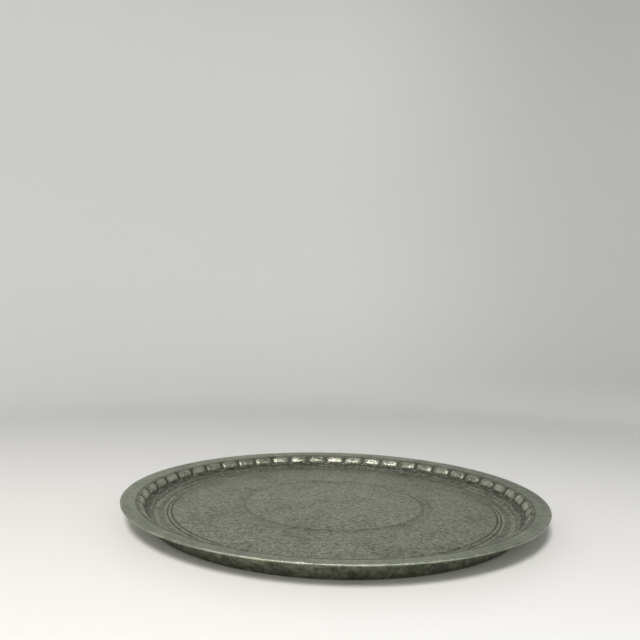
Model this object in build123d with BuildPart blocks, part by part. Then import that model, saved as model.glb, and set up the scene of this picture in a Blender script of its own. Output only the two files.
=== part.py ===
from build123d import *
import math
import os

# Round pressed metal serving tray, in millimetres.
# Z is up, and the origin is on the table, at the centre of the tray.
# One sheet makes the floor, the moulded rings, the coved and lobed wall and the brim.
# The edge of that sheet is rolled round a steel wire.
# A plain conical band is soldered behind the lobed wall and carries the tray clear of the table.

# ---- driving dimensions ----
tray_radius = 225.0
sheet = 0.5

# raised floor, and the fine groove in it
floor_radius = 172.3
floor_height = 7.2
floor_groove_radius = 98.8
floor_groove_width = 1.6
floor_groove_depth = 0.25

# two moulded rings round the floor, and the flat border outside them
ring_pitch = 4.1
inner_ring_height = 6.8
outer_ring_height = 6.4
ring_groove_depth = 1.0
ring_round = 1.2
border_radius = 183.0
border_height = 5.8

# cove from the border up to the foot of the steep wall, the wall, and the brim
cove_radius = 190.5
cove_round = 6.0
wall_foot_radius = 200.7
wall_foot_height = 11.6
wall_foot_round = 5.0
crest_radius = 207.5
crest_height = 20.3
crest_round = 1.7
brim_rise = 2.3

# lobes pressed into the wall
lobe_count = 48
lobe_phase = 7.2
lobe_length = 20.8
lobe_below_crest = 5.4
lobe_swell_radius = 4.6
lobe_rise = 1.6
lobe_end_sink = 0.2

# conical band behind the wall, with its lower edge turned in to stand on the table
band_sheet = 0.6
band_gap = 0.05
band_below_crest = 1.6
band_foot_radius = 196.2
band_round = 2.5
band_turn = 3.6

# rolled edge and its wire
wire_radius = 0.3
wire_clearance = 0.05
wire_gap = 1.5
curl_sweep = 285.0

# ---- values that follow from the driving dimensions ----
inner_ring_radius = floor_radius + ring_pitch
outer_ring_radius = inner_ring_radius + ring_pitch
groove_cutter_radius = ((floor_groove_width / 2) ** 2 + floor_groove_depth**2) / (2 * floor_groove_depth)
groove_cutter_height = floor_height + groove_cutter_radius - floor_groove_depth

curl_inner = wire_radius + wire_clearance
curl_outer = curl_inner + sheet
curl_radius = tray_radius - curl_outer
curl_height = crest_height + brim_rise - curl_outer
curl_centre = (curl_radius, curl_height)
curl_start = 90.0 + math.degrees(math.atan2(brim_rise, curl_radius - crest_radius))
brim_end_radius = curl_radius + curl_outer * math.cos(math.radians(curl_start))
brim_end_height = curl_height + curl_outer * math.sin(math.radians(curl_start))
wire_arc = 360.0 - math.degrees(wire_gap / curl_radius)

# each lobe is part of a bulging barrel, whose axis lies behind the wall, square to its slope
wall_run = crest_radius - wall_foot_radius
wall_rise = crest_height - wall_foot_height
wall_length = math.hypot(wall_run, wall_rise)
up_wall = Vector(wall_run, 0, wall_rise) / wall_length
off_wall = Vector(-wall_rise, 0, wall_run) / wall_length
lobe_axis_depth = lobe_swell_radius - lobe_rise
lobe_end_radius = lobe_axis_depth - lobe_end_sink
lobe_middle = Vector(crest_radius, 0, crest_height) - up_wall * lobe_below_crest
lobe_plane = Plane(origin=lobe_middle - off_wall * lobe_axis_depth, x_dir=(0, 1, 0), z_dir=up_wall)
lobe_axis = Axis(lobe_plane.origin, lobe_plane.x_dir)
wall_middle = Plane(origin=lobe_middle - off_wall * sheet / 2, z_dir=off_wall)

# the band starts close behind the wall, just under the brim
band_offset = sheet + band_gap + band_sheet
band_top = Vector(crest_radius, 0, crest_height) - off_wall * band_offset - up_wall * band_below_crest

os.makedirs("parts", exist_ok=True)


def groove_bottom(inner, outer):
    """Lowest point of the groove between two edges, each given as radius and height."""
    return ((inner[0] + outer[0]) / 2, (inner[1] + outer[1]) / 2 - ring_groove_depth)


def barrel_section(swell, end):
    """Half section of a barrel along the wall, with its radius at the middle and at the ends."""
    with BuildSketch(lobe_plane) as section:
        with BuildLine():
            Polyline(
                (-lobe_length / 2, end),
                (-lobe_length / 2, 0),
                (lobe_length / 2, 0),
                (lobe_length / 2, end),
            )
            ThreePointArc((-lobe_length / 2, end), (0, swell), (lobe_length / 2, end))
        make_face()
    return section.sketch


# ---- skin of one lobe, on the inner side of the wall ----
with BuildPart() as lobe_skin:
    revolve(barrel_section(lobe_swell_radius, lobe_end_radius), axis=lobe_axis)
    split(bisect_by=wall_middle, keep=Keep.TOP)

# ---- hollow behind one lobe, one sheet thickness under its skin ----
with BuildPart() as lobe_hollow:
    revolve(barrel_section(lobe_swell_radius - sheet, lobe_end_radius - sheet), axis=lobe_axis)

# ---- pan: one pressed sheet ----
with BuildPart() as tray_pan:
    with BuildSketch(Plane.XZ):
        floor_edge = (floor_radius, floor_height)
        inner_ring = (inner_ring_radius, inner_ring_height)
        outer_ring = (outer_ring_radius, outer_ring_height)
        with BuildLine():
            FilletPolyline(
                (0, floor_height),
                floor_edge,
                groove_bottom(floor_edge, inner_ring),
                inner_ring,
                groove_bottom(inner_ring, outer_ring),
                outer_ring,
                (border_radius, border_height),
                (cove_radius, border_height),
                (wall_foot_radius, wall_foot_height),
                (crest_radius, crest_height),
                (brim_end_radius, brim_end_height),
                radius=6 * [ring_round] + [cove_round, wall_foot_round, crest_round],
            )
            offset(amount=sheet, side=Side.RIGHT)
        make_face()
        with BuildLine():
            outer_arc = CenterArc(curl_centre, curl_outer, curl_start, -curl_sweep)
            inner_arc = CenterArc(curl_centre, curl_inner, curl_start, -curl_sweep)
            Line(outer_arc @ 0, inner_arc @ 0)
            Line(outer_arc @ 1, inner_arc @ 1)
        make_face()
    revolve(axis=Axis.Z)
    with BuildSketch(Plane.XZ):
        with Locations((floor_groove_radius, groove_cutter_height)):
            Circle(groove_cutter_radius)
    revolve(axis=Axis.Z, mode=Mode.SUBTRACT)
    with PolarLocations(0, lobe_count, start_angle=lobe_phase):
        add(lobe_skin.part)
    with PolarLocations(0, lobe_count, start_angle=lobe_phase):
        add(lobe_hollow.part, mode=Mode.SUBTRACT)
tray_pan.part.label = "tray_pan"
export_step(tray_pan.part, "parts/tray_pan.step")

# ---- band that the tray stands on ----
with BuildPart() as foot_band:
    with BuildSketch(Plane.XZ):
        with BuildLine():
            FilletPolyline(
                (band_top.X, band_top.Z),
                (band_foot_radius, 0),
                (band_foot_radius - band_turn, 0),
                radius=band_round,
            )
            offset(amount=band_sheet, side=Side.RIGHT)
        make_face()
    revolve(axis=Axis.Z)
foot_band.part.label = "foot_band"
export_step(foot_band.part, "parts/foot_band.step")

# ---- wire inside the rolled edge: a ring whose ends meet with a small gap ----
with BuildPart() as rim_wire:
    with BuildSketch(Plane.XZ):
        with Locations(curl_centre):
            Circle(wire_radius)
    revolve(axis=Axis.Z, revolution_arc=wire_arc)
rim_wire.part.label = "rim_wire"
export_step(rim_wire.part, "parts/rim_wire.step")
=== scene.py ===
import math

import bpy
from mathutils import Matrix, Vector, noise


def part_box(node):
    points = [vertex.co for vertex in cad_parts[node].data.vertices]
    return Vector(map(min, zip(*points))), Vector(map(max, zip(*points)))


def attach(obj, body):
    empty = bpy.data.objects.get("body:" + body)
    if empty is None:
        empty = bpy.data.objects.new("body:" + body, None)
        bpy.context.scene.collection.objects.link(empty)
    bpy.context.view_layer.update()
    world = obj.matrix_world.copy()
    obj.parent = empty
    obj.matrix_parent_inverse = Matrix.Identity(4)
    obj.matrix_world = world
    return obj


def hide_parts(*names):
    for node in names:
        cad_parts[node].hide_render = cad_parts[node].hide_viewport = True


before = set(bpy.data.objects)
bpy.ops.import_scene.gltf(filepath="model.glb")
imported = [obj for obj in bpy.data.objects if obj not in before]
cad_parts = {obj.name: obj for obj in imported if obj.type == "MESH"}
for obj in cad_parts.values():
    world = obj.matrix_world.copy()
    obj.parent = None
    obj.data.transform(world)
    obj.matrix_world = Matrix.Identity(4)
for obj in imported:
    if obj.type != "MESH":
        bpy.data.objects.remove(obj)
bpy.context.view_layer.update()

MM = 0.001
TAU = 2 * math.pi

# ---- the pan in millimetres; its radius, its height and the rolled edge come from the frame ----
pan_low, pan_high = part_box("tray_pan")
wire_low, wire_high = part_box("rim_wire")
RADIUS = (pan_high.x - pan_low.x) / MM / 2
SHEET = 0.5
WIRE_RADIUS = (wire_high.z - wire_low.z) / MM / 2
WIRE_GAP = 1.5
WIRE_CLEARANCE = 0.05
CURL_INNER = WIRE_RADIUS + WIRE_CLEARANCE
CURL_OUTER = CURL_INNER + SHEET
CURL_RADIUS = RADIUS - CURL_OUTER
CURL_HEIGHT = (wire_high.z + wire_low.z) / MM / 2
CURL_SWEEP = math.radians(285)
BRIM_RISE = 2.3
CREST_RADIUS = 207.5
CREST_HEIGHT = CURL_HEIGHT + CURL_OUTER - BRIM_RISE
CREST_ROUND = 3.9
FLOOR_RADIUS = 172.3
FLOOR_HEIGHT = 7.2
RING_PITCH = 4.1
INNER_RING_HEIGHT = 6.8
OUTER_RING_HEIGHT = 6.4
RING_GROOVE = 1.0
RING_ROUND = 1.2
BORDER_RADIUS = 183.0
BORDER_HEIGHT = 5.8
COVE_RADIUS = 190.5
COVE_ROUND = 6.0
FOOT_RADIUS = 200.7
FOOT_HEIGHT = 11.6
FOOT_ROUND = 5.0
GROOVE_RADIUS = 98.8
GROOVE_WIDTH = 7.4

# ---- plain conical band behind the wall, with its lower edge turned in ----
BAND_SHEET = 0.6
BAND_GAP = 0.05
BAND_BELOW_CREST = 1.6
BAND_FOOT_RADIUS = 196.2
BAND_TURN = 3.6
BAND_ROUND = 2.5

# ---- pressed work, measured down the wall from its crest ----
LOBES = 48
LOBE_PHASE = math.radians(7.2)
LOBE_TOP = 0.6
LOBE_BOTTOM = 9.9
LOBE_RISE = 1.6
SCALLOP_DEPTH = 11.3
SCROLL_DEPTH = 16.8
TICK_DEPTH = 22.4

# ---- unevenness left by the hammer: (height, size) of its slow and its quick part ----
SLOW_WORK = (0.10, 13.0)
QUICK_WORK = (0.05, 5.5)
QUICK_WORK_SHIFT = Vector((7.1, 3.3, 1.9))

# ---- mesh resolution: points round the tray on the pressed work, and on the rest of it ----
POINTS_PER_LOBE = 16
FINEST = LOBES * POINTS_PER_LOBE
COARSER = FINEST // 2
CLOSEST_POINTS = 2.4
FEWEST_POINTS = 27


# ---- small helpers ----
def smooth(a, b, x):
    """0 at a and 1 at b, with a smooth run between them."""
    t = min(1.0, max(0.0, (x - a) / (b - a)))
    return t * t * (3 - 2 * t)


def hump(x, middle, width):
    """1 at the middle, falling away smoothly on both sides."""
    return math.exp(-(((x - middle) / width) ** 2))


def rounded_path(points, radii, arc_step):
    """Points of a polyline in the r-z plane with each corner rounded."""
    path = [Vector(points[0])]
    for before, corner, after, radius in zip(points, points[1:], points[2:], radii):
        corner = Vector(corner)
        a = (Vector(before) - corner).normalized()
        b = (Vector(after) - corner).normalized()
        half = a.angle(b) / 2
        start = corner + a * (radius / math.tan(half))
        centre = corner + (a + b).normalized() * (radius / math.sin(half))
        sweep = math.pi - 2 * half
        if a.x * b.y - a.y * b.x > 0:
            sweep = -sweep
        steps = max(3, math.ceil(abs(sweep) * radius / arc_step))
        for k in range(steps + 1):
            path.append(centre + Matrix.Rotation(sweep * k / steps, 2) @ (start - centre))
    path.append(Vector(points[-1]))
    return path


def spaced(path, step_at):
    """The path with points added on its long runs, at the spacing that step_at(radius) asks for."""
    slack = 0.3
    result = [path[0]]
    for a, b in zip(path, path[1:]):
        count = max(1, math.ceil((b - a).length / step_at((a.x + b.x) / 2) - slack))
        for k in range(1, count + 1):
            result.append(a.lerp(b, k / count))
    return result


def with_normals(path):
    """(point, normal) pairs; the normal points to the left of the way along the path."""
    pairs = []
    for i, point in enumerate(path):
        before = path[max(0, i - 1)]
        after = path[min(len(path) - 1, i + 1)]
        along = (after - before).normalized()
        pairs.append((point, Vector((-along.y, along.x))))
    return pairs


# ---- section of the sheet: its upper face from the centre to the rolled edge ----
def section_corners():
    """(corners, their rounding, angle where the rolled edge starts)."""
    inner_ring = (FLOOR_RADIUS + RING_PITCH, INNER_RING_HEIGHT)
    outer_ring = (FLOOR_RADIUS + 2 * RING_PITCH, OUTER_RING_HEIGHT)
    floor_edge = (FLOOR_RADIUS, FLOOR_HEIGHT)

    def between(a, b):
        return ((a[0] + b[0]) / 2, (a[1] + b[1]) / 2 - RING_GROOVE)

    slope = math.atan2(CREST_HEIGHT - CURL_HEIGHT - CURL_OUTER, CURL_RADIUS - CREST_RADIUS)
    brim_end_radius = CURL_RADIUS + CURL_OUTER * math.sin(slope)
    brim_end_height = CURL_HEIGHT + CURL_OUTER * math.cos(slope)
    corners = [
        (0, FLOOR_HEIGHT),
        floor_edge,
        between(floor_edge, inner_ring),
        inner_ring,
        between(inner_ring, outer_ring),
        outer_ring,
        (BORDER_RADIUS, BORDER_HEIGHT),
        (COVE_RADIUS, BORDER_HEIGHT),
        (FOOT_RADIUS, FOOT_HEIGHT),
        (CREST_RADIUS, CREST_HEIGHT),
        (brim_end_radius, brim_end_height),
    ]
    rounding = 6 * [RING_ROUND] + [COVE_ROUND, FOOT_ROUND, CREST_ROUND]
    return corners, rounding, math.pi / 2 - slope


def upper_step(radius):
    """Spacing of the rings of points on the upper face."""
    if radius < FLOOR_RADIUS - 4:
        return 3.0
    if radius < CREST_RADIUS + 3:
        return 0.6
    return 2.6


def under_step(radius):
    """Spacing of the rings of points on the underside."""
    if radius < FLOOR_RADIUS - 4:
        return 9.0
    if radius < CREST_RADIUS + 2:
        return 1.7
    return 4.0


def section(step_at, arc_step, curl_steps):
    """(point, normal) pairs of the upper face and the outside of the rolled edge."""
    corners, radii, curl_start = section_corners()
    pairs = with_normals(spaced(rounded_path(corners, radii, arc_step), step_at))
    curl_middle = Vector((CURL_RADIUS, CURL_HEIGHT))
    for k in range(1, curl_steps + 1):
        angle = curl_start - CURL_SWEEP * k / curl_steps
        away = Vector((math.cos(angle), math.sin(angle)))
        pairs.append((curl_middle + away * CURL_OUTER, away))
    return pairs


# ---- relief of the pressed and chased work, in millimetres along the section's normal ----
COVE_FOOT = Vector((COVE_RADIUS, BORDER_HEIGHT))
WALL_FOOT = Vector((FOOT_RADIUS, FOOT_HEIGHT))
WALL_CREST = Vector((CREST_RADIUS, CREST_HEIGHT))
DOWN_WALL = (WALL_FOOT - WALL_CREST).normalized()
DOWN_COVE = (COVE_FOOT - WALL_FOOT).normalized()
WALL_LENGTH = (WALL_FOOT - WALL_CREST).length
COVE_LENGTH = (COVE_FOOT - WALL_FOOT).length


def wall_depth(point):
    """How far down the wall and the cove a point lies, from the crest."""
    if point.x > FOOT_RADIUS:
        return (point - WALL_CREST).dot(DOWN_WALL)
    if point.x > COVE_RADIUS:
        return WALL_LENGTH + (point - WALL_FOOT).dot(DOWN_COVE)
    return WALL_LENGTH + COVE_LENGTH + COVE_RADIUS - point.x


def lobe_number(theta):
    """Which lobe an angle falls on."""
    return math.floor((theta - LOBE_PHASE) / TAU * LOBES + 0.5)


def lobe_share(theta):
    """From -1 to 1 across one lobe, 0 at its middle."""
    return 2 * ((theta - LOBE_PHASE) / TAU * LOBES - lobe_number(theta))


def lobe_shape(depth, u):
    """(height of the lobe from 0 to 1, how far outside the lobe from 0 to 1)."""
    v = 2 * (depth - LOBE_TOP) / (LOBE_BOTTOM - LOBE_TOP) - 1
    rim = (abs(u / 0.81) ** 4.2 + abs(v) ** 3.4) ** (1 / 3.8)
    if rim >= 1:
        return 0.0, smooth(1.0, 1.10, rim)
    return (1 - rim**3) ** 0.5, 0.0


def lobed_wall(depth, u, half_pitch):
    """Lobes with gaps darkened by painted shade, and a scallop under each, also darkened by painted
    shade, with a bead between two scallops.
    """
    dome, outside = lobe_shape(depth, u)
    band = smooth(0.4, 1.5, depth) * (1 - smooth(LOBE_BOTTOM + 0.2, LOBE_BOTTOM + 1.4, depth))
    height = LOBE_RISE * dome - 0.40 * band * outside
    # painted shade in the gaps between the lobes and round each lobe's edge
    dirt_and_shade = band * (1.1 * outside + 0.30 * (1 - smooth(0.0, 0.5, dome)) * (1 - outside))
    wear = 1.1 * smooth(0.45, 0.85, dome)
    sag = SCALLOP_DEPTH - 1.0 * (u / 0.7) ** 2
    scallop = smooth(0.88, 0.45, abs(u)) * hump(depth, sag, 1.3)
    height -= 0.4 * scallop
    # painted shade in the scallop under each lobe
    dirt_and_shade += 1.15 * scallop
    bead = 1 - ((1 - abs(u)) * half_pitch / 1.9) ** 2 - ((depth - SCALLOP_DEPTH) / 1.4) ** 2
    if bead > 0:
        height += 0.8 * bead**0.5
        wear += 0.6 * smooth(0.3, 1.0, bead)
    return height, dirt_and_shade, wear


def scroll_work(depth, u, side, half_pitch):
    """Running scroll in the cove: a wave with a curled leaf in each of its bends."""
    along = u * half_pitch
    wave = SCROLL_DEPTH + side * 1.9 * math.sin(math.pi * (u + 1))
    stem = hump(depth, wave, 0.75)
    reach = math.hypot(along - 4.2, depth - SCROLL_DEPTH - side * 1.2)
    other = math.hypot(along + 6.0, depth - SCROLL_DEPTH + side * 1.5)
    curl = max(hump(reach, 2.4, 0.65), hump(other, 1.9, 0.6))
    return max(stem, curl)


def cove_scrolls(depth, theta, half_pitch):
    """(height, dirt, wear) of the scrolls, which lie in a tarnished strip along the cove."""
    strip = smooth(SCROLL_DEPTH - 4.6, SCROLL_DEPTH - 3.0, depth)
    strip *= 1 - smooth(SCROLL_DEPTH + 3.2, SCROLL_DEPTH + 4.4, depth)
    if strip == 0:
        return 0.0, 0.0, 0.0
    side = 1 if lobe_number(theta) % 2 else -1
    line = scroll_work(depth, lobe_share(theta), side, half_pitch) * strip
    return 0.45 * line, (0.42 - 0.55 * line) * strip, 0.35 * line


def cove_ticks(depth, u):
    """(height, dirt, wear) of the row of small ticks where the cove runs out into the border."""
    tick = abs(math.sin(5 * math.pi * u / 2))
    row = hump(depth, TICK_DEPTH, 1.7)
    return 0.38 * tick * row, 0.5 * (1 - tick) ** 2 * row, 0.75 * tick * row


def cove_tarnish_and_shade(depth, u):
    """Dirt and painted shade under the lobes, and dirt all along the cove."""
    grime_and_shade_under_lobes = smooth(SCALLOP_DEPTH - 1.5, SCALLOP_DEPTH, depth)
    grime_and_shade_under_lobes *= 1 - smooth(SCALLOP_DEPTH, SCALLOP_DEPTH + 8, depth)
    along_cove = smooth(SCALLOP_DEPTH + 1, SCALLOP_DEPTH + 3, depth)
    along_cove *= 1 - smooth(TICK_DEPTH - 2, TICK_DEPTH, depth)
    beside_ticks = hump(depth, TICK_DEPTH - 2.4, 0.9) * (0.5 + 0.5 * math.sin(9 * math.pi * u / 2))
    return 0.6 * grime_and_shade_under_lobes + 0.30 * along_cove + 0.4 * beside_ticks


def relief(point, theta):
    """(height, dirt and painted shade, wear) at a place on the upper face."""
    r = point.x
    height = dirt_and_shade = wear = 0.0
    u = lobe_share(theta)
    half_pitch = math.pi / LOBES * r
    if BORDER_RADIUS < r < CREST_RADIUS:
        depth = wall_depth(point)
        if depth < SCALLOP_DEPTH + 4:
            height, dirt_and_shade, wear = lobed_wall(depth, u, half_pitch)
        for more in (cove_scrolls(depth, theta, half_pitch), cove_ticks(depth, u)):
            height += more[0]
            dirt_and_shade += more[1]
            wear += more[2]
        dirt_and_shade += cove_tarnish_and_shade(depth, u)
    # tarnish and painted shade along the border
    border_tarnish_and_shade = smooth(BORDER_RADIUS - 2.1, BORDER_RADIUS - 1, r)
    border_tarnish_and_shade *= 1 - smooth(COVE_RADIUS - 4, COVE_RADIUS - 1.5, r)
    dirt_and_shade += 0.42 * border_tarnish_and_shade
    # thin dark line where the brim starts to bend down, grime with a painted dark reflection, and a
    # band between it and the lobes darkened by painted shade and a painted dark reflection
    line = hump(r, CREST_RADIUS + 1.8, 0.5)
    height -= 0.20 * line
    bend_reflection_and_shade = smooth(CREST_RADIUS - 1.6, CREST_RADIUS, r)
    bend_reflection_and_shade *= 1 - smooth(CREST_RADIUS + 1.6, CREST_RADIUS + 2.1, r)
    dirt_and_shade += 0.45 * line + bend_reflection_and_shade * (0.40 + 0.25 * smooth(0.5, 0.9, abs(u)))
    # shallow groove in the floor, sharper at its inner edge
    groove = smooth(GROOVE_RADIUS - 1.2, GROOVE_RADIUS + 0.6, r)
    groove *= 1 - smooth(GROOVE_RADIUS + GROOVE_WIDTH - 2, GROOVE_RADIUS + GROOVE_WIDTH, r)
    height -= 0.4 * groove
    dirt_and_shade += 0.9 * hump(r, GROOVE_RADIUS, 1.4) + 0.12 * groove
    dirt_and_shade += 0.55 * hump(r, GROOVE_RADIUS + GROOVE_WIDTH - 0.6, 1.3)
    # ring grooves and ridges
    for k in range(2):
        dirt_and_shade += 0.95 * hump(r, FLOOR_RADIUS + RING_PITCH * (k + 0.5), 1.0)
        wear += 0.8 * hump(r, FLOOR_RADIUS + RING_PITCH * (k + 1), 0.6)
    wear += 0.3 * hump(r, FLOOR_RADIUS - 0.4, 0.8)
    wear += 0.8 * smooth(CURL_RADIUS - 0.8, CURL_RADIUS + 0.3, r)
    return height, min(1.0, max(0.0, dirt_and_shade)), min(1.0, wear)


def hand_work(point, theta):
    """Unevenness of the sheet at a point of the section turned to an angle."""
    x, y, z = point.x * math.cos(theta), point.x * math.sin(theta), point.y
    place = Vector((x, y, z))
    slow = SLOW_WORK[0] * noise.noise(place / SLOW_WORK[1])
    quick = QUICK_WORK[0] * noise.noise(place / QUICK_WORK[1] + QUICK_WORK_SHIFT)
    return slow + quick


# ---- building the shell from rings of points ----
def ring_angles():
    """Angles round the tray, closer together in the gaps between lobes."""
    crowding = 0.55
    angles = []
    for lobe in range(LOBES):
        for k in range(POINTS_PER_LOBE):
            t = k / POINTS_PER_LOBE
            t -= crowding * math.sin(TAU * t) / TAU
            angles.append(LOBE_PHASE + TAU * (lobe + t + 0.5) / LOBES)
    return angles


ANGLES = ring_angles()


def plain_count(radius):
    """How many points a ring has away from the pressed work, halved where they get too close."""
    count = COARSER
    while count > FEWEST_POINTS and TAU * radius / count < CLOSEST_POINTS:
        count //= 2
    return count


def upper_count(radius):
    """How many points a ring of the upper face has."""
    if BORDER_RADIUS + 1 <= radius <= CREST_RADIUS + 1.5:
        return FINEST
    return plain_count(radius)


class Shell:
    """Rings of points joined into one closed surface."""

    def __init__(self):
        self.points = []
        self.dirt_and_shade = []
        self.wear = []
        self.faces = []
        self.last = None

    def add_pole(self, height):
        """The single point at the centre of the floor."""
        self.points.append((0, 0, height * MM))
        self.dirt_and_shade.append(0.0)
        self.wear.append(0.0)
        self.join([len(self.points) - 1])

    def add_ring(self, count, place):
        """Points round the tray; place(theta) gives radius, height, dirt and painted shade, and
        wear.
        """
        first = len(self.points)
        for theta in ANGLES[:: FINEST // count]:
            r, z, dirt_and_shade, wear = place(theta)
            self.points.append((r * MM * math.cos(theta), r * MM * math.sin(theta), z * MM))
            self.dirt_and_shade.append(dirt_and_shade)
            self.wear.append(wear)
        self.join(list(range(first, len(self.points))))

    def join(self, ring):
        """Faces between the last ring and this one."""
        before = self.last
        self.last = ring
        if before is None:
            return
        a, b = len(before), len(ring)
        if a == b:
            for j in range(a):
                k = (j + 1) % a
                self.faces.append((before[j], ring[j], ring[k], before[k]))
        elif a == 1:
            for j in range(b):
                self.faces.append((before[0], ring[j], ring[(j + 1) % b]))
        elif b == 1:
            for j in range(a):
                self.faces.append((before[j], ring[0], before[(j + 1) % a]))
        elif b == 2 * a:
            for j in range(a):
                k = (j + 1) % a
                self.faces.append((before[j], ring[2 * j], ring[2 * j + 1]))
                self.faces.append((before[j], ring[2 * j + 1], before[k]))
                self.faces.append((before[k], ring[2 * j + 1], ring[(2 * j + 2) % b]))
        elif a == 2 * b:
            for j in range(b):
                k = (j + 1) % b
                self.faces.append((ring[j], before[2 * j + 1], before[2 * j]))
                self.faces.append((ring[j], ring[k], before[2 * j + 1]))
                self.faces.append((ring[k], before[(2 * j + 2) % a], before[2 * j + 1]))
        else:
            raise ValueError(f"rings of {a} and {b} points don't join")

    def mesh(self, name):
        mesh = bpy.data.meshes.new(name)
        mesh.from_pydata(self.points, [], self.faces)
        for label, values in (("dirt_and_shade", self.dirt_and_shade), ("wear", self.wear)):
            layer = mesh.attributes.new(label, "FLOAT", "POINT")
            layer.data.foreach_set("value", values)
        mesh.polygons.foreach_set("use_smooth", [True] * len(mesh.polygons))
        mesh.update()
        return mesh


def make_object(mesh, *materials):
    thing = bpy.data.objects.new(mesh.name, mesh)
    bpy.context.scene.collection.objects.link(thing)
    for material in materials:
        mesh.materials.append(material)
    return thing


def build_pan(upper_material, under_material):
    """One sheet: its upper face out to the rolled edge, and its underside back to the centre."""
    rolled_edge = (0.0, 0.15, 0.6)  # height, dirt and wear
    under_relief, under_dirt_and_shade, under_wear = 0.9, 0.4, 0.3  # shares of those of the upper face
    shell = Shell()
    shell.add_pole(FLOOR_HEIGHT)
    upper = section(upper_step, arc_step=0.5, curl_steps=14)
    for point, normal in upper[1:]:
        rolled = point.x > CURL_RADIUS

        def place(theta):
            height, dirt_and_shade, wear = rolled_edge if rolled else relief(point, theta)
            moved = point + normal * (height + hand_work(point, theta))
            return moved.x, moved.y, dirt_and_shade, wear

        shell.add_ring(upper_count(point.x), place)
    under_from = len(shell.faces)
    under = section(under_step, arc_step=0.9, curl_steps=10)
    for point, normal in reversed(under[1:]):

        def place(theta):
            height, dirt_and_shade, wear = relief(point, theta)
            height = under_relief * max(0.0, height) + hand_work(point, theta)
            moved = point + normal * (height - SHEET)
            return moved.x, moved.y, under_dirt_and_shade * dirt_and_shade, under_wear * wear

        shell.add_ring(plain_count(point.x), place)
    shell.add_pole(FLOOR_HEIGHT - SHEET)
    mesh = shell.mesh("tray_sheet")
    made = make_object(mesh, upper_material, under_material)
    for polygon in mesh.polygons[under_from:]:
        polygon.material_index = 1
    return made


def build_band(material):
    """Conical sheet from under the brim down to the table, turned in at its foot."""
    off_wall = Vector((DOWN_WALL.y, -DOWN_WALL.x))
    corner = WALL_CREST - off_wall * (SHEET + BAND_GAP + BAND_SHEET)
    top = corner + DOWN_WALL * BAND_BELOW_CREST
    foot = Vector((BAND_FOOT_RADIUS, 0))
    inner_end = Vector((BAND_FOOT_RADIUS - BAND_TURN, 0))
    bent = rounded_path([top, foot, inner_end], [BAND_ROUND], arc_step=0.35)
    pairs = with_normals(spaced(bent, lambda radius: 1.2))
    outline = [(point, normal, 0.0) for point, normal in pairs]
    outline += [(point, normal, BAND_SHEET) for point, normal in reversed(pairs)]
    shell = Shell()
    for point, normal, offset in outline + outline[:1]:

        def place(theta):
            uneven = hand_work(point, theta) * smooth(0.0, 4.0, point.y)
            moved = point - normal * (offset - uneven)
            # painted shade: darker near the foot, where the band meets the table, and just under
            # the brim
            painted_foot_shade = 1 - smooth(0.0, 9.0, point.y)
            painted_brim_shade = smooth(top.y - 3.0, top.y, point.y)
            return moved.x, moved.y, 0.75 * painted_foot_shade + 0.2 * painted_brim_shade, 0.0

        shell.add_ring(COARSER, place)
    return make_object(shell.mesh("foot_band_sheet"), material)


def build_wire(material):
    """Drawn steel ring inside the rolled edge, with a small gap between its two ends."""
    around, across = 432, 16
    open_angle = WIRE_GAP / CURL_RADIUS
    points = []
    faces = []
    for i in range(around):
        theta = open_angle / 2 + (TAU - open_angle) * i / (around - 1)
        for j in range(across):
            phi = TAU * j / across
            r = CURL_RADIUS + WIRE_RADIUS * math.cos(phi)
            z = CURL_HEIGHT + WIRE_RADIUS * math.sin(phi)
            points.append((r * MM * math.cos(theta), r * MM * math.sin(theta), z * MM))
    for i in range(around - 1):
        for j in range(across):
            k = (j + 1) % across
            a, b = i * across, (i + 1) * across
            faces.append((a + j, b + j, b + k, a + k))
    faces.append(tuple(range(across)))
    last = (around - 1) * across
    faces.append(tuple(last + j for j in reversed(range(across))))
    mesh = bpy.data.meshes.new("edge_wire")
    mesh.from_pydata(points, [], faces)
    mesh.polygons.foreach_set("use_smooth", [len(f) == 4 for f in faces])
    mesh.update()
    return make_object(mesh, material)


# ---- shader node helpers ----
def make(tree, kind, inputs=None, **settings):
    """A new node with its settings and inputs; an input is a value or another node's socket."""
    made = tree.nodes.new(kind)
    for key, value in settings.items():
        setattr(made, key, value)
    for key, value in (inputs or {}).items():
        if isinstance(value, bpy.types.NodeSocket):
            tree.links.new(value, made.inputs[key])
        else:
            made.inputs[key].default_value = value
    return made


def calc(tree, operation, a, b=0.0, clamp=False):
    """The outcome of a math node, cut to the range from 0 to 1 if asked."""
    inputs = {0: a, 1: b}
    return make(tree, "ShaderNodeMath", inputs, operation=operation, use_clamp=clamp).outputs[0]


def plus(tree, a, b):
    return calc(tree, "ADD", a, b)


def times(tree, a, b):
    return calc(tree, "MULTIPLY", a, b)


def fade(tree, value, low, high):
    """0 at low and 1 at high, smoothly."""
    inputs = {"Value": value, "From Min": low, "From Max": high}
    return make(tree, "ShaderNodeMapRange", inputs, interpolation_type="SMOOTHSTEP").outputs[0]


def blend(tree, share, a, b):
    """The colour a where the share is 0, and b where it is 1."""
    return make(tree, "ShaderNodeMix", {0: share, 6: a, 7: b}, data_type="RGBA").outputs[2]


def grain(tree, place, size, detail=2.0, rough=0.5, distortion=0.0):
    """Noise from 0 to 1 with features of about that size in millimetres."""
    inputs = {
        "Vector": place,
        "Scale": 1 / (size * MM),
        "Detail": detail,
        "Roughness": rough,
        "Distortion": distortion,
    }
    return make(tree, "ShaderNodeTexNoise", inputs).outputs[0]


def attribute(tree, name):
    return make(tree, "ShaderNodeAttribute", attribute_name=name).outputs["Fac"]


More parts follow.
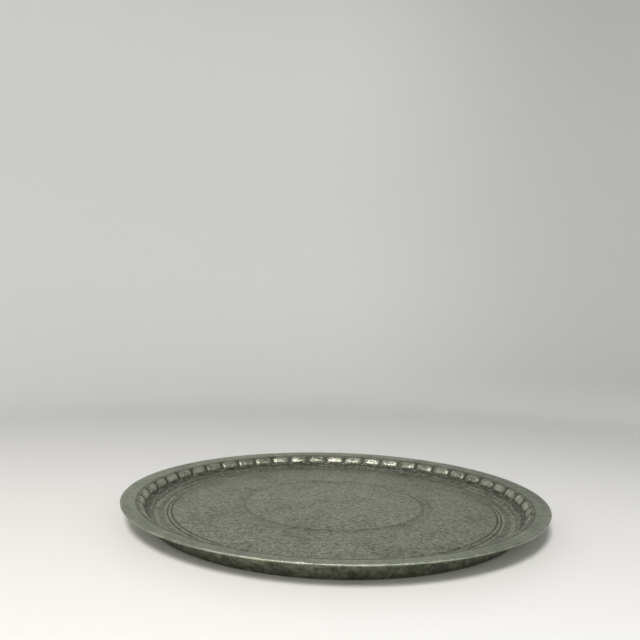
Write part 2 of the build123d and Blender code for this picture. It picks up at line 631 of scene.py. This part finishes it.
def new_material(name):
    """(material, its node tree, its shader)."""
    material = bpy.data.materials.new(name)
    material.use_nodes = True
    tree = material.node_tree
    tree.nodes.clear()
    shader = make(tree, "ShaderNodeBsdfPrincipled")
    output = make(tree, "ShaderNodeOutputMaterial")
    tree.links.new(shader.outputs[0], output.inputs[0])
    return material, tree, shader


# ---- metal ----
PATINA_GREEN = (0.306, 0.364, 0.262, 1)
PATINA_GREY = (0.386, 0.400, 0.292, 1)
PATINA_BROWN = (0.33, 0.285, 0.205, 1)
TARNISH_AND_SHADE = (0.050, 0.056, 0.043, 1)
WORN_METAL = (0.66, 0.655, 0.555, 1)
WIRE_DARK = (0.22, 0.22, 0.21, 1)
WIRE_PALE = (0.36, 0.35, 0.33, 1)


def speckled(tree, colour, texture, low, high, share, speck):
    """The colour with another one over it, where the texture runs from low to high."""
    amount = times(tree, fade(tree, texture, low, high), share)
    return blend(tree, amount, colour, speck)


def brushed(tree, x, y, radius):
    """Brush marks: noise squeezed round the tray and stretched along its radius."""
    mark_width, mark_length, at_radius = 0.0014, 0.016, 0.222
    strokes = make(
        tree,
        "ShaderNodeCombineXYZ",
        {
            0: times(tree, calc(tree, "DIVIDE", x, radius), at_radius / mark_width),
            1: times(tree, calc(tree, "DIVIDE", y, radius), at_radius / mark_width),
            2: times(tree, radius, 1 / mark_length),
        },
    ).outputs[0]
    inputs = {
        "Vector": strokes,
        "Scale": 1.0,
        "Detail": 3.0,
        "Roughness": 0.62,
        "Distortion": 0.15,
    }
    return make(tree, "ShaderNodeTexNoise", inputs).outputs[0]


def patinated_metal(name, kind):
    """Aged metal for the upper face, the underside or the band: brushed brim, chased floor."""
    material, tree, shader = new_material(name)
    place = make(tree, "ShaderNodeTexCoord").outputs["Object"]
    xyz = make(tree, "ShaderNodeSeparateXYZ", {0: place})
    x, y = xyz.outputs[0], xyz.outputs[1]
    radius = calc(tree, "SQRT", plus(tree, times(tree, x, x), times(tree, y, y)))
    floor_end = FLOOR_RADIUS * MM
    brim_start = (CREST_RADIUS + 1.5) * MM
    outside_floor = fade(tree, radius, floor_end - 0.0015, floor_end + 0.0001)
    floor_share = calc(tree, "SUBTRACT", 1.0, outside_floor)
    brim_share = fade(tree, radius, brim_start - 0.0016, brim_start)
    whole_grain = 0.45 if kind == "band" else 1.0
    grain_share = calc(tree, "SUBTRACT", whole_grain, times(tree, brim_share, 0.55), True)

    brushing = brushed(tree, x, y, radius)

    # chased scrolls are level lines of a slow noise, broken up by finer ones
    slow = grain(tree, place, 15.0, detail=1.5, rough=0.5, distortion=1.2)
    lines = calc(tree, "ABSOLUTE", calc(tree, "SINE", times(tree, slow, 44.0)))
    leather = grain(tree, place, 4.0, detail=3.5, rough=0.62, distortion=0.8)
    tiny = grain(tree, place, 1.25, detail=2.0, rough=0.6)
    clouds = grain(tree, place, 42.0, detail=4.0, rough=0.6)
    patches = grain(tree, place, 10.0, detail=4.0, rough=0.65)

    work = times(tree, calc(tree, "POWER", lines, 0.5), times(tree, floor_share, 0.5))
    for texture, share, amount in (
        (leather, grain_share, 2.2),
        (tiny, grain_share, 0.9),
        (brushing, brim_share, 1.7),
    ):
        work = plus(tree, work, times(tree, texture, times(tree, share, amount)))
    inputs = {"Height": work, "Distance": 0.0005, "Strength": 0.9}
    normal = make(tree, "ShaderNodeBump", inputs).outputs[0]

    off_brim = calc(tree, "SUBTRACT", 1.0, times(tree, brim_share, 0.75))
    grey_share = times(tree, fade(tree, patches, 0.36, 0.62), off_brim)
    colour = blend(tree, grey_share, PATINA_GREEN, PATINA_GREY)
    hollow = times(tree, floor_share, times(tree, fade(tree, patches, 0.42, 0.60), 0.34))
    for texture, low, high, share, speck in (
        (clouds, 0.48, 0.72, 0.45, PATINA_BROWN),
        (brushing, 0.48, 0.32, times(tree, brim_share, 0.34), TARNISH_AND_SHADE),
        (brushing, 0.54, 0.70, times(tree, brim_share, 0.40), WORN_METAL),
        (clouds, 0.54, 0.40, 0.34, TARNISH_AND_SHADE),
        (lines, 0.45, 0.05, hollow, TARNISH_AND_SHADE),
        (leather, 0.49, 0.34, times(tree, grain_share, 0.80), TARNISH_AND_SHADE),
        (leather, 0.51, 0.64, times(tree, grain_share, 0.65), WORN_METAL),
        (tiny, 0.49, 0.34, times(tree, grain_share, 0.60), TARNISH_AND_SHADE),
        (tiny, 0.53, 0.68, times(tree, grain_share, 0.50), WORN_METAL),
    ):
        colour = speckled(tree, colour, texture, low, high, share, speck)

    # tarnish and painted shade in the hollows and worn metal on the high places, both uneven
    uneven = plus(tree, 0.7, times(tree, patches, 0.5))
    dirt_and_shade = calc(tree, "MULTIPLY", attribute(tree, "dirt_and_shade"), uneven, True)
    colour = blend(tree, times(tree, dirt_and_shade, 0.9), colour, TARNISH_AND_SHADE)
    wear = times(tree, attribute(tree, "wear"), fade(tree, patches, 0.30, 0.70))
    colour = blend(tree, times(tree, wear, 0.65), colour, WORN_METAL)
    if kind == "band":
        marble = grain(tree, place, 11.0, detail=3.0, rough=0.6, distortion=1.5)
        colour = blend(tree, 0.34, colour, TARNISH_AND_SHADE)
        colour = speckled(tree, colour, marble, 0.52, 0.36, 0.55, TARNISH_AND_SHADE)
        colour = speckled(tree, colour, marble, 0.52, 0.66, 0.20, WORN_METAL)

    rough = plus(tree, 0.27 if kind == "upper" else 0.36, times(tree, clouds, 0.12))
    rough = plus(tree, rough, times(tree, dirt_and_shade, 0.28))
    rough = calc(tree, "SUBTRACT", rough, times(tree, wear, 0.08), True)
    metal = calc(tree, "SUBTRACT", 1.0, times(tree, dirt_and_shade, 0.35))
    links = {"Base Color": colour, "Roughness": rough, "Metallic": metal, "Normal": normal}
    for key, socket in links.items():
        tree.links.new(socket, shader.inputs[key])
    return material


def wire_steel():
    """Drawn steel, slightly cloudy and with a fine grain."""
    material, tree, shader = new_material("drawn_wire_steel")
    place = make(tree, "ShaderNodeTexCoord").outputs["Object"]
    cloud = grain(tree, place, 6.0, detail=3.0)
    inputs = {"Height": grain(tree, place, 0.5), "Distance": 0.00004, "Strength": 0.5}
    links = {
        "Base Color": blend(tree, cloud, WIRE_DARK, WIRE_PALE),
        "Roughness": plus(tree, 0.3, times(tree, cloud, 0.25)),
        "Normal": make(tree, "ShaderNodeBump", inputs).outputs[0],
    }
    for key, socket in links.items():
        tree.links.new(socket, shader.inputs[key])
    shader.inputs["Metallic"].default_value = 1.0
    return material


# ---- floor, backdrop, lights and camera ----
STAGE_FLAT = 1.05
STAGE_COVE = 0.45
STAGE_TOP = 1.7
FLOOR_PALE = (0.85, 0.832, 0.812, 1)
FLOOR_PALEST = (0.865, 0.857, 0.842, 1)
BACKDROP_LOW = (0.79, 0.79, 0.78, 1)
BACKDROP_HIGH = (0.87, 0.87, 0.86, 1)
BACKDROP_SHADED = (0.61, 0.615, 0.61, 1)


def build_stage():
    """Pale round floor that curves up into a backdrop on every side."""
    material, tree, shader = new_material("pale_studio_floor")
    place = make(tree, "ShaderNodeTexCoord").outputs["Object"]
    xyz = make(tree, "ShaderNodeSeparateXYZ", {0: place})
    x, y, z = xyz.outputs[0], xyz.outputs[1], xyz.outputs[2]
    # The stage's colour changes are painted light: a paler floor to the right, darker far back and
    # low on the backdrop, paler high up, and painted shade over the right of the backdrop.
    colour = blend(tree, fade(tree, x, -0.3, 0.3), FLOOR_PALE, FLOOR_PALEST)
    colour = blend(tree, fade(tree, y, -0.05, 0.60), colour, BACKDROP_LOW)
    colour = blend(tree, fade(tree, z, 0.02, 0.20), colour, BACKDROP_LOW)
    colour = blend(tree, fade(tree, z, 0.70, 1.50), colour, BACKDROP_HIGH)
    shaded = times(tree, fade(tree, z, -0.02, 0.12), fade(tree, x, -0.1, 1.0))
    colour = blend(tree, shaded, colour, BACKDROP_SHADED)
    tree.links.new(colour, shader.inputs["Base Color"])
    shader.inputs["Roughness"].default_value = 0.65
    shader.inputs["Specular IOR Level"].default_value = 0.2
    outline = [(r * STAGE_FLAT, 0.0) for r in (0.25, 0.5, 0.75, 1.0)]
    cove_steps = 12
    for k in range(1, cove_steps + 1):
        t = math.pi / 2 * k / cove_steps
        outline.append((STAGE_FLAT + STAGE_COVE * math.sin(t), STAGE_COVE * (1 - math.cos(t))))
    outline.append((STAGE_FLAT + STAGE_COVE, STAGE_TOP))
    around = 96
    points = [(0, 0, 0)]
    for r, height in outline:
        for j in range(around):
            theta = TAU * j / around
            points.append((r * math.cos(theta), r * math.sin(theta), height))
    faces = [(0, 1 + j, 1 + (j + 1) % around) for j in range(around)]
    for i in range(len(outline) - 1):
        a, b = 1 + i * around, 1 + (i + 1) * around
        for j in range(around):
            k = (j + 1) % around
            faces.append((a + j, b + j, b + k, a + k))
    mesh = bpy.data.meshes.new("studio_floor")
    mesh.from_pydata(points, [], faces)
    mesh.polygons.foreach_set("use_smooth", [True] * len(faces))
    make_object(mesh, material)


KEY_PLACE = Vector((-0.185, -1.30, 1.30))
KEY_SIZE = 0.44
KEY_WATTS = 25.0
KEY_COLOUR = (1.0, 0.99, 0.972)
WORLD_COLOUR = (0.98, 0.99, 1.0, 1)
WORLD_STRENGTH = 0.242


def build_lights():
    """One round soft light, aimed at the centre of the tray, and an even pale world."""
    data = bpy.data.lights.new("key", "AREA")
    data.shape = "DISK"
    data.size = KEY_SIZE
    data.energy = KEY_WATTS
    data.color = KEY_COLOUR
    lamp = bpy.data.objects.new("key", data)
    bpy.context.scene.collection.objects.link(lamp)
    lamp.location = KEY_PLACE
    lamp.rotation_euler = (-KEY_PLACE).to_track_quat("-Z", "Y").to_euler()
    world = bpy.data.worlds.new("studio")
    bpy.context.scene.world = world
    world.use_nodes = True
    background = world.node_tree.nodes["Background"]
    background.inputs[0].default_value = WORLD_COLOUR
    background.inputs[1].default_value = WORLD_STRENGTH


CAMERA_PLACE = (0.0, -0.6396, 0.1745)
CAMERA_YAW = math.radians(-1.756)
CAMERA_PITCH = math.radians(3.205)
CAMERA_ROLL = math.radians(1.314)
CAMERA_LENS = 31.78


def build_camera():
    data = bpy.data.cameras.new("camera")
    data.sensor_width = 36.0
    data.lens = CAMERA_LENS
    data.clip_start = 0.01
    camera = bpy.data.objects.new("camera", data)
    bpy.context.scene.collection.objects.link(camera)
    forward = Vector(
        (
            math.sin(CAMERA_YAW) * math.cos(CAMERA_PITCH),
            math.cos(CAMERA_YAW) * math.cos(CAMERA_PITCH),
            math.sin(CAMERA_PITCH),
        )
    )
    right = forward.cross(Vector((0, 0, 1))).normalized()
    up = right.cross(forward)
    turned_right = right * math.cos(CAMERA_ROLL) + up * math.sin(CAMERA_ROLL)
    turned_up = up * math.cos(CAMERA_ROLL) - right * math.sin(CAMERA_ROLL)
    axes = Matrix((turned_right, turned_up, -forward)).transposed()
    camera.matrix_world = Matrix.Translation(CAMERA_PLACE) @ axes.to_4x4()
    bpy.context.scene.camera = camera


# ---- the object ----
upper_face = patinated_metal("patinated_upper_face", "upper")
under_face = patinated_metal("patinated_under_face", "under")
pan = build_pan(upper_face, under_face)
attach(pan, "root")
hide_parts("tray_pan")

band = build_band(patinated_metal("patinated_band", "band"))
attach(band, "root")
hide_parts("foot_band")

edge_wire = build_wire(wire_steel())
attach(edge_wire, "root")
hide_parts("rim_wire")

build_stage()
build_lights()
build_camera()
bpy.context.scene.view_settings.view_transform = "Standard"
